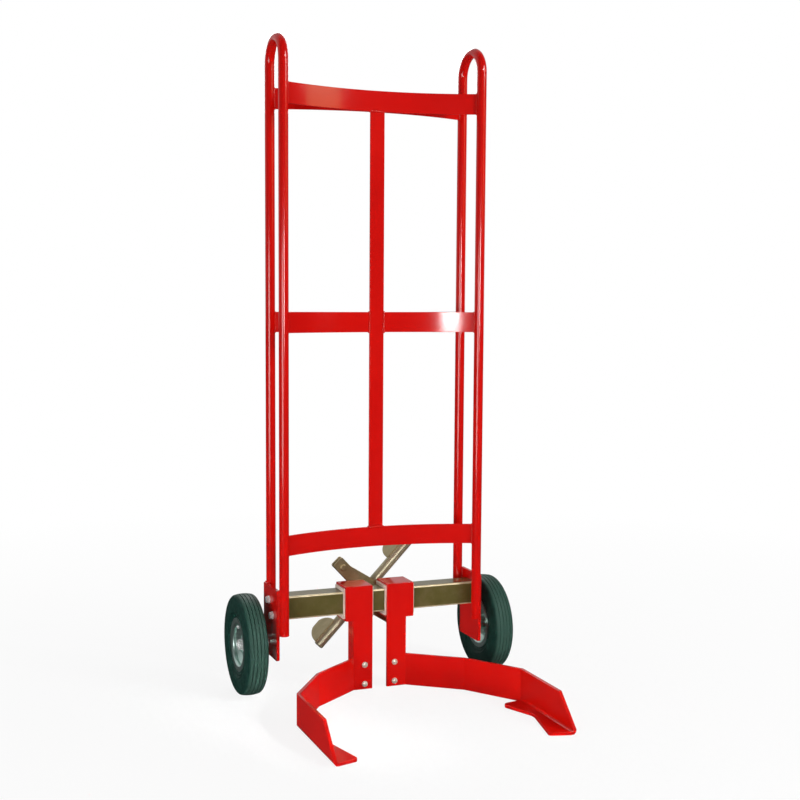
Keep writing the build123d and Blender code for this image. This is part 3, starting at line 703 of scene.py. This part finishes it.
for side in both:
    valve_cap(side)
print("put caps on two valves")

# %% [markdown]
# ## Weld beads
# The frame is welded together, and paint doesn't hide a bead: it still stands in the corner as a row of
# overlapping drops. The seams are drawn as plain lines of edges, one mesh for each body. A node tree turns
# the lines into curves, cuts them to the pitch of the drops and puts one flattened drop on every point,
# turned along the seam. Random sizes from a fixed seed make the drops uneven. The result is made a plain
# mesh, so that nothing has to be worked out again later.

# %% Tree for the beads
def tree_with_ports(name, ports, result):
    """A tree with named inputs, and with one mesh as its result."""
    tree = bpy.data.node_groups.new(name, "GeometryNodeTree")
    for label, kind in ports.items():
        tree.interface.new_socket(name=label, in_out="INPUT", socket_type="NodeSocket" + kind)
    tree.interface.new_socket(name=result, in_out="OUTPUT", socket_type="NodeSocketGeometry")
    given = tree.nodes.new("NodeGroupInput").outputs
    wanted = tree.nodes.new("NodeGroupOutput").inputs[result]
    return tree, given, wanted


def points_along(tree, lines, pitch):
    curve = tree.nodes.new("GeometryNodeMeshToCurve")
    cut = tree.nodes.new("GeometryNodeResampleCurve")
    cut.mode = "LENGTH"
    tree.links.new(lines, curve.inputs["Mesh"])
    tree.links.new(curve.outputs["Curve"], cut.inputs["Curve"])
    tree.links.new(pitch, cut.inputs["Length"])
    return cut.outputs["Curve"]


def turned_along(tree, axis):
    turn = tree.nodes.new("FunctionNodeAlignRotationToVector")
    turn.axis = axis
    tree.links.new(tree.nodes.new("GeometryNodeInputTangent").outputs["Tangent"], turn.inputs["Vector"])
    return turn.outputs["Rotation"]


def plain_end(tree, instances, finish, end):
    real = tree.nodes.new("GeometryNodeRealizeInstances")
    soft = tree.nodes.new("GeometryNodeSetShadeSmooth")
    paint = tree.nodes.new("GeometryNodeSetMaterial")
    tree.links.new(instances, real.inputs["Geometry"])
    tree.links.new(real.outputs["Geometry"], soft.inputs["Geometry"])
    tree.links.new(soft.outputs["Geometry"], paint.inputs["Geometry"])
    tree.links.new(finish, paint.inputs["Material"])
    tree.links.new(paint.outputs["Geometry"], end)


def bead_tree():
    ports = {"Seams": "Geometry", "Bead width": "Float", "Ripple pitch": "Float"}
    ports |= {"Seed": "Int", "Finish": "Material"}
    tree, given, wanted = tree_with_ports("weld_beads", ports, "Beads")
    drop = tree.nodes.new("GeometryNodeMeshUVSphere")
    drop.inputs["Segments"].default_value = 8
    drop.inputs["Rings"].default_value = 5
    drop.inputs["Radius"].default_value = 0.5
    uneven = tree.nodes.new("FunctionNodeRandomValue")
    uneven.data_type = "FLOAT_VECTOR"
    uneven.inputs[0].default_value = (0.85, 0.80, 0.80)
    uneven.inputs[1].default_value = (1.10, 1.10, 1.10)
    tree.links.new(given["Seed"], uneven.inputs["Seed"])
    size = tree.nodes.new("ShaderNodeVectorMath")
    size.operation = "SCALE"
    tree.links.new(uneven.outputs[0], size.inputs[0])
    tree.links.new(given["Bead width"], size.inputs["Scale"])
    place = tree.nodes.new("GeometryNodeInstanceOnPoints")
    tree.links.new(points_along(tree, given["Seams"], given["Ripple pitch"]), place.inputs["Points"])
    tree.links.new(drop.outputs["Mesh"], place.inputs["Instance"])
    tree.links.new(turned_along(tree, "X"), place.inputs["Rotation"])
    tree.links.new(size.outputs["Vector"], place.inputs["Scale"])
    plain_end(tree, place.outputs["Instances"], given["Finish"], wanted)
    return tree


beads = bead_tree()
print("bead tree has", len(beads.nodes), "nodes")

# %% Run a tree over lines
def line_mesh(name, lines):
    points, edges = [], []
    for line in lines:
        edges += [(len(points) + k, len(points) + k + 1) for k in range(len(line) - 1)]
        points += [tuple(point) for point in line]
    mesh = bpy.data.meshes.new(name)
    mesh.from_pydata(points, edges, [])
    return mesh


def run_tree(name, mesh, tree, values):
    """Gives the plain mesh that a tree makes from a mesh of lines."""
    carrier = bpy.data.objects.new(name + "_lines", mesh)
    bpy.context.scene.collection.objects.link(carrier)
    run = carrier.modifiers.new("run", "NODES")
    run.node_group = tree
    sockets = {item.name: item.identifier for item in tree.interface.items_tree if item.in_out == "INPUT"}
    for label, value in values.items():
        run[sockets[label]] = value
    ready = carrier.evaluated_get(bpy.context.evaluated_depsgraph_get())
    result = bpy.data.meshes.new_from_object(ready)
    result.name = name
    carrier.modifiers.remove(run)
    bpy.data.objects.remove(carrier)
    return result


RIPPLE_SHARE, BEAD_SEED = 0.42, 7


def weld(body, finish, lines, width, part=""):
    name = body + part + "_welds"
    pitch = width * RIPPLE_SHARE
    values = {"Bead width": width, "Ripple pitch": pitch, "Seed": BEAD_SEED, "Finish": finish}
    mesh = run_tree(name, line_mesh(body + "_seams", lines), beads, values)
    piece = join_scene(name, mesh, finish)
    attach(piece, body)
    print(name, len(lines), "seams,", len(mesh.polygons), "faces")


print("the drops of a bead stand", RIPPLE_SHARE, "of its width apart")

# %% [markdown]
# The seams follow from the solids. A band is a bent flat, so its two faces are circles, and the tube is a
# circle too: the corner to weld is where they meet, and it runs straight up the height of the band. The
# brackets are welded along both sides of every leg, the strip across its ends, and the pins round their
# feet.

# %% Seams of the frame
BAND_SHEET, SEAM_END = 0.005, 0.001
tube_low, tube_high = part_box("right_side_tube")
front_tube = Vector((tube_high.x - tube_radius, tube_low.y + tube_radius))
rear_tube = Vector((tube_high.x - tube_radius, tube_high.y - tube_radius))


def upright(x, y, low, high):
    return [Vector((x, y, low)), Vector((x, y, high))]


def circles_meet(middle, reach, tube, radius):
    """The meeting point of two circles that lies nearer the middle plane x = 0."""
    gap = tube - middle
    along = (reach**2 - radius**2 + gap.length_squared) / (2 * gap.length)
    aside = sqrt(reach**2 - along**2)
    foot = middle + gap.normalized() * along
    across = Vector((-gap.y, gap.x)).normalized() * aside
    return min((foot + across, foot - across), key=lambda point: abs(point.x))


def band_seams(node, tube, bulge):
    """Both corners at both ends; bulge is 1 for a band bowed to the rear, -1 for one bowed to the front."""
    low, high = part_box(node)
    crest = (high.y - BAND_SHEET / 2) if bulge > 0 else (low.y + BAND_SHEET / 2)
    bow = abs(crest - tube.y)
    reach = (tube.x**2 + bow**2) / (2 * bow)
    middle = Vector((0.0, crest - bulge * reach))
    lines = []
    for face in (-1, 1):
        corner = circles_meet(middle, reach + face * BAND_SHEET / 2, tube, tube_radius)
        lines += [upright(s * corner.x, corner.y, low.z + SEAM_END, high.z - SEAM_END) for s in (-1, 1)]
    return lines


def ring(centre, radius, count=40):
    """Circle in a plane square to Y."""
    turns = [2 * pi * k / count for k in range(count + 1)]
    return [centre + Vector((radius * cos(a), 0, radius * sin(a))) for a in turns]


seams = band_seams("top_band", front_tube, 1) + band_seams("bottom_band", front_tube, 1)
seams += band_seams("top_rear_brace", rear_tube, -1) + band_seams("middle_rear_brace", rear_tube, -1)
print("band seams:", len(seams))

# %% Seams of the middle band, strip, brackets and pivot
FRAME_BEAD, PIVOT_BEAD, PIVOT_SEAM = 0.0058, 0.0042, 0.0130
CORNER_LIFT, ROUND_LIFT, PIVOT_LIFT = 0.0004, 0.0006, 0.0002


def middle_band_seams():
    """Two halves that end on the strip; the corners at the tubes are those of the top band, lower down."""
    low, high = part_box("right_middle_band")
    shift = Vector((0, 0, low.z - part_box("top_band")[0].z))
    corners = [[point + shift for point in line] for line in band_seams("top_band", front_tube, 1)]
    strip_low, strip_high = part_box("centre_strip")
    for s in (-1, 1):
        for y in (strip_low.y, strip_high.y):
            corners.append(upright(s * (strip_high.x + CORNER_LIFT), y, low.z, high.z))
    return corners


def strip_end_seams():
    low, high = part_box("centre_strip")
    ends = [(z, y) for z in (low.z, high.z) for y in (low.y, high.y)]
    return [[Vector((low.x, y, z)), Vector((high.x, y, z))] for z, y in ends]


def bracket_seams():
    """In the inner corner beside each leg, and where the edge of the plate meets the round of the leg."""
    low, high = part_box("right_wheel_bracket")
    aside = sqrt(tube_radius**2 - (low.x - front_tube.x) ** 2) + CORNER_LIFT
    legs = ((front_tube, tube_low.z, 1, low.y), (rear_tube, rear_leg_end(), -1, high.y))
    lines = []
    for tube, end, inward, edge in legs:
        reach = tube.x + sqrt(tube_radius**2 - (edge - tube.y) ** 2) + ROUND_LIFT
        for s in (-1, 1):
            lines.append(upright(s * low.x, tube.y + inward * aside, end, high.z - SEAM_END))
            lines.append(upright(s * reach, edge - inward * CORNER_LIFT, end, high.z - SEAM_END))
    return lines


seams += middle_band_seams() + strip_end_seams() + bracket_seams()
weld("frame", enamel, seams, FRAME_BEAD)
pivot_foot = Vector((0.0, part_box("slide_bar")[1].y + PIVOT_LIFT, middle_of("slide_bar").z))
weld("frame", enamel, [ring(pivot_foot, PIVOT_SEAM)], PIVOT_BEAD, "_pivot")

# %% Seams of the arms and the rocker
ANGLE_SHEET, BOSS_LIFT = 0.005, 0.0003
ARM_BEAD, ROCKER_BEAD = 0.0030, 0.0034
PEDAL_TILT = radians(46.0)
PEDAL_RADIUS, HUB_RADIUS, PEDAL_REACH = 0.0135, 0.017, 0.190
TREAD_HALF, TREAD_INSET, WELDED_SHARE = 0.038, 0.004, 0.8
TREAD_SEAMS = ((0.0074, 0.0111), (-0.0046, 0.0127))


def arm_seams(side):
    """Lug boss on the sleeve, and the angle under the sleeve."""
    pin, half = middle_of(side + "lug_pin"), half_of(side + "lug_pin")
    rear_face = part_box(side + "sleeve")[1].y
    boss = ring(Vector((pin.x, rear_face + BOSS_LIFT, pin.z)), half.x + BOSS_LIFT)
    low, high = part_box(side + "leg_angle")
    inner = low.x if side == "right_" else high.x
    limb = high.x - ANGLE_SHEET if side == "right_" else low.x + ANGLE_SHEET
    corners = ((inner, low.y + ANGLE_SHEET), (limb, low.y + ANGLE_SHEET), (limb, high.y))
    return [boss, [Vector((x, y, high.z)) for x, y in corners]]


def pedal_point(along, back, up):
    """A point by its way from the middle of the rocker: along the pedal bars, back, and square to both."""
    centre = Vector((0.0, middle_of("upper_pedal_bar").y, middle_of("rocker_hub").z))
    bar = Vector((cos(PEDAL_TILT), 0, sin(PEDAL_TILT)))
    square = Vector((-sin(PEDAL_TILT), 0, cos(PEDAL_TILT)))
    return centre + bar * along + Vector((0, back, 0)) + square * up


def rocker_seams():
    """Where each pedal bar meets the hub, and along both sides of each tread."""
    lines = []
    for s in (-1, 1):
        foot = []
        for k in range(37):
            a = 2 * pi * k / 36
            back, up = PEDAL_RADIUS * cos(a), PEDAL_RADIUS * sin(a)
            foot.append(pedal_point(s * sqrt(HUB_RADIUS**2 - up**2), back, up))
        lines.append(foot)
        middle = s * (PEDAL_REACH - TREAD_HALF - TREAD_INSET)
        for back, up in TREAD_SEAMS:
            lines.append([pedal_point(middle + k * TREAD_HALF * WELDED_SHARE, back, up) for k in (-1, 1)])
    return lines


for side in both:
    weld(side + "arm", enamel, arm_seams(side), ARM_BEAD)
weld("rocker", zinc["rocker"], rocker_seams(), ROCKER_BEAD)

# %% [markdown]
# ## Threads
# Behind every nut a short end of thread looks out. A second tree puts one thin ring on each turn of the
# thread. The size of the pin is stored with the points of the line, so one tree serves thick and thin pins:
# the ring is scaled by it, and the pitch is a share of it.

# %% Tree for the threads
def thread_tree():
    ports = {"Pins": "Geometry", "Pitch share": "Float", "Depth share": "Float", "Finish": "Material"}
    tree, given, wanted = tree_with_ports("pin_threads", ports, "Threads")
    size = tree.nodes.new("GeometryNodeInputNamedAttribute")
    size.data_type = "FLOAT"
    size.inputs["Name"].default_value = "pin_radius"
    pitch = times(tree, size.outputs[0], given["Pitch share"])
    circle = tree.nodes.new("GeometryNodeCurvePrimitiveCircle")
    circle.inputs["Resolution"].default_value = 28
    circle.inputs["Radius"].default_value = 0.96
    crest = tree.nodes.new("GeometryNodeCurvePrimitiveCircle")
    crest.inputs["Resolution"].default_value = 4
    tree.links.new(given["Depth share"], crest.inputs["Radius"])
    turn = tree.nodes.new("GeometryNodeCurveToMesh")
    tree.links.new(circle.outputs["Curve"], turn.inputs["Curve"])
    tree.links.new(crest.outputs["Curve"], turn.inputs["Profile Curve"])
    place = tree.nodes.new("GeometryNodeInstanceOnPoints")
    tree.links.new(points_along(tree, given["Pins"], pitch), place.inputs["Points"])
    tree.links.new(turn.outputs["Mesh"], place.inputs["Instance"])
    tree.links.new(turned_along(tree, "Z"), place.inputs["Rotation"])
    tree.links.new(size.outputs[0], place.inputs["Scale"])
    plain_end(tree, place.outputs["Instances"], given["Finish"], wanted)
    return tree


threads = thread_tree()
print("thread tree has", len(threads.nodes), "nodes")

# %% Threads on the pin ends
PITCH_SHARE, DEPTH_SHARE = 0.22, 0.07
THICK_PIN, LUG_PIN, LEG_BOLT = 0.008, 0.005, 0.004
LEG_BOLT_HEIGHTS = (0.015, 0.066)
NUT_GAP, TIP_GAP = 0.0006, 0.0012
LEG_BOLT_START, LEG_BOLT_TIP = 0.0022, 0.0003


def cut_threads(body, finish, pins):
    """pins: (start, end, radius) of each threaded end."""
    mesh = line_mesh(body + "_pins", [(start, end) for start, end, reach in pins])
    sizes = mesh.attributes.new("pin_radius", "FLOAT", "POINT")
    sizes.data.foreach_set("value", [reach for start, end, reach in pins for k in range(2)])
    values = {"Pitch share": PITCH_SHARE, "Depth share": DEPTH_SHARE, "Finish": finish}
    made = run_tree(body + "_threads", mesh, threads, values)
    piece = join_scene(body + "_threads", made, finish)
    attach(piece, body)
    print(body, "threads:", len(pins), "ends,", len(made.polygons), "faces")


def end_behind(nut, pin, reach):
    """Threaded end of a pin along Y that looks out behind its nut."""
    at = middle_of(pin)
    start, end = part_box(nut)[1].y + NUT_GAP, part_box(pin)[1].y - TIP_GAP
    return Vector((at.x, start, at.z)), Vector((at.x, end, at.z)), reach


def axle_end(side):
    at = middle_of(side + "tyre")
    outer, out = (1, 1) if side == "right_" else (0, -1)
    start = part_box(side + "axle_nut")[outer].x + out * NUT_GAP
    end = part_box(side + "axle")[outer].x - out * TIP_GAP
    return Vector((start, at.y, at.z)), Vector((end, at.y, at.z)), THICK_PIN


def leg_bolt_ends(side):
    x, rear = middle_of(side + "leg_bolts").x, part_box(side + "leg_bolts")[1].y
    ends = []
    for z in LEG_BOLT_HEIGHTS:
        start, end = Vector((x, rear - LEG_BOLT_START, z)), Vector((x, rear - LEG_BOLT_TIP, z))
        ends.append((start, end, LEG_BOLT))
    return ends


frame_ends = [axle_end("left_"), axle_end("right_"), end_behind("pivot_nut", "pivot_pin", THICK_PIN)]
cut_threads("frame", zinc["plain"], frame_ends)
for side in both:
    ends = [end_behind(side + "lug_nut", side + "lug_pin", LUG_PIN)] + leg_bolt_ends(side)
    cut_threads(side + "arm", zinc["bolt"], ends)

# %% [markdown]
# ## Camera, floor and light
# The camera stands in front of the cart and a little to its left, about a metre up. The floor and the world
# are white for the camera and darker for other rays, so the background is pale without more light on the
# cart, and the floor keeps a soft shadow. Seven soft lamps light the cart: a key and a tall one from the
# right in front, a fill from the left, one behind, and three small ones aimed at its foot. Three more lamps
# only draw glare, because hard enamel is told by the sharp lights on it.

# %% Camera
CAMERA_PLACE = Vector((-1.1838, -2.8674, 1.0140))
CAMERA_YAW, CAMERA_PITCH, CAMERA_ROLL = radians(20.73), radians(5.16), radians(0.22)
CAMERA_LENS, CAMERA_SENSOR = 56.66, 36.0
CAMERA_SHIFT = (0.0436, 0.0183)


def aim_camera(yaw, pitch, roll):
    forward = Vector((sin(yaw) * cos(pitch), cos(yaw) * cos(pitch), -sin(pitch)))
    level = Vector((cos(yaw), -sin(yaw), 0))
    right = level * cos(roll) + level.cross(forward) * sin(roll)
    up = right.cross(forward)
    lens = bpy.data.cameras.new("camera")
    lens.lens = CAMERA_LENS
    lens.sensor_width = CAMERA_SENSOR
    lens.shift_x, lens.shift_y = CAMERA_SHIFT
    camera = bpy.data.objects.new("camera", lens)
    turn = Matrix((right, up, -forward)).transposed()
    camera.matrix_world = Matrix.Translation(CAMERA_PLACE) @ turn.to_4x4()
    bpy.context.scene.collection.objects.link(camera)
    bpy.context.scene.camera = camera


aim_camera(CAMERA_YAW, CAMERA_PITCH, CAMERA_ROLL)
print("camera at", [round(v, 3) for v in CAMERA_PLACE])

# %% Floor and world
FLOOR_REACH = 60.0


def either_of(tree, *values):
    """The largest of some sockets."""
    result = values[0]
    for value in values[1:]:
        result = maths(tree, "MAXIMUM", result, value)
    return result


def pale_floor():
    """A matt floor that the camera sees as white, fully so only away from the cart."""
    mesh = bpy.data.meshes.new("floor")
    corners = [(x * FLOOR_REACH, y * FLOOR_REACH, 0) for x, y in ((-1, -1), (1, -1), (1, 1), (-1, 1))]
    mesh.from_pydata(corners, [], [(0, 1, 2, 3)])
    finish, tree, shader, place = new_finish("pale_floor")
    tree.nodes.remove(shader)
    matt = tree.nodes.new("ShaderNodeBsdfDiffuse")
    matt.inputs["Color"].default_value = (0.86, 0.86, 0.86, 1)
    glow = tree.nodes.new("ShaderNodeEmission")
    glow.inputs["Color"].default_value = (1, 1, 1, 1)
    fade = mapped(tree, vector_maths(tree, "LENGTH", place), 0.6, 3.0, 0.86, 1.0)
    rays = tree.nodes.new("ShaderNodeLightPath").outputs
    straight = either_of(tree, rays["Is Camera Ray"], rays["Is Transmission Ray"])
    mirror = times(tree, rays["Is Glossy Ray"], 0.05)
    tree.links.new(either_of(tree, straight, mirror), glow.inputs["Strength"])
    share = either_of(tree, times(tree, fade, straight), rays["Is Glossy Ray"])
    mix = tree.nodes.new("ShaderNodeMixShader")
    fed(tree, mix, (share, matt.outputs["BSDF"], glow.outputs["Emission"]))
    tree.links.new(mix.outputs["Shader"], tree.nodes["Material Output"].inputs["Surface"])
    floor = join_scene("floor", mesh, finish)


def white_world():
    """White for the camera; in mirrors brighter behind the cart, along +Y, than in front of it."""
    world = bpy.data.worlds.new("studio")
    world.use_nodes = True
    bpy.context.scene.world = world
    tree = world.node_tree
    glow = tree.nodes["Background"]
    glow.inputs["Color"].default_value = (1, 1, 1, 1)
    towards = tree.nodes.new("ShaderNodeSeparateXYZ")
    tree.links.new(tree.nodes.new("ShaderNodeTexCoord").outputs["Generated"], towards.inputs["Vector"])
    backdrop = mapped(tree, towards.outputs["Y"], -0.1, 0.5, 0.05, 0.54)
    rays = tree.nodes.new("ShaderNodeLightPath").outputs
    mirror = times(tree, backdrop, rays["Is Glossy Ray"])
    soft = times(tree, rays["Is Diffuse Ray"], 0.34)
    seen = either_of(tree, rays["Is Camera Ray"], rays["Is Transmission Ray"], mirror, soft)
    tree.links.new(seen, glow.inputs["Strength"])


pale_floor()
white_world()
bpy.context.scene.view_settings.view_transform = "Standard"
print("floor and world set")

# %% Lamps
def soft_lamp(name, place, target, width, height, power, opening):
    lamp_data = bpy.data.lights.new(name, "AREA")
    lamp_data.shape = "RECTANGLE"
    lamp_data.size = width
    lamp_data.size_y = height
    lamp_data.energy = power
    lamp_data.spread = radians(opening)
    lamp = bpy.data.objects.new(name, lamp_data)
    lamp.location = place
    lamp.rotation_euler = (Vector(target) - Vector(place)).to_track_quat("-Z", "Y").to_euler()
    bpy.context.scene.collection.objects.link(lamp)
    return lamp


# Place, what it points at, width and height in metres, watts, and how far the light opens in degrees.
lamp_table = {
    "key_lamp": ((2.6, -2.6, 3.0), (0.0, 0.0, 0.6), 1.5, 1.5, 48.0, 180.0),
    "tall_lamp": ((2.2, -2.3, 1.8), (0.0, 0.0, 1.2), 0.30, 2.0, 38.0, 180.0),
    "fill_lamp": ((-2.9, -2.7, 0.6), (0.1, -0.2, 0.15), 2.2, 1.4, 60.0, 180.0),
    "low_lamp": ((0.0, -3.8, 0.4), (0.30, -0.4, -0.12), 0.6, 0.3, 0.5, 14.0),
    "back_lamp": ((0.6, 2.9, 2.6), (0.0, 0.0, 0.9), 1.5, 1.5, 42.0, 180.0),
    "side_lamp": ((-3.2, -1.4, 0.3), (-0.35, -0.1, 0.08), 0.8, 0.3, 1.0, 30.0),
    "blade_lamp": ((1.0, -2.2, 1.5), (-0.25, -0.11, 0.03), 0.3, 0.3, 0.45, 8.0),
    "flash_glare": ((-0.38, -3.4, 1.12), (0.0, 0.1, 1.0), 0.38, 0.55, 33.0, 180.0),
    "wall_glare": ((2.2, -2.2, 1.9), (-0.2, 0.15, 1.4), 0.8, 1.05, 4.2, 180.0),
    "edge_glare": ((1.15, -2.2, 2.6), (0.0, 0.1, 0.3), 1.3, 0.15, 30.0, 180.0),
}
lamps = {name: soft_lamp(name, *values) for name, values in lamp_table.items()}
for name in ("tall_lamp", "side_lamp", "blade_lamp"):
    lamps[name].visible_glossy = False
for name in ("flash_glare", "wall_glare", "edge_glare"):
    lamps[name].visible_diffuse = False
lamps["wall_glare"].data.color = (0.85, 1.0, 0.42)
print("lamps:", len(lamps))
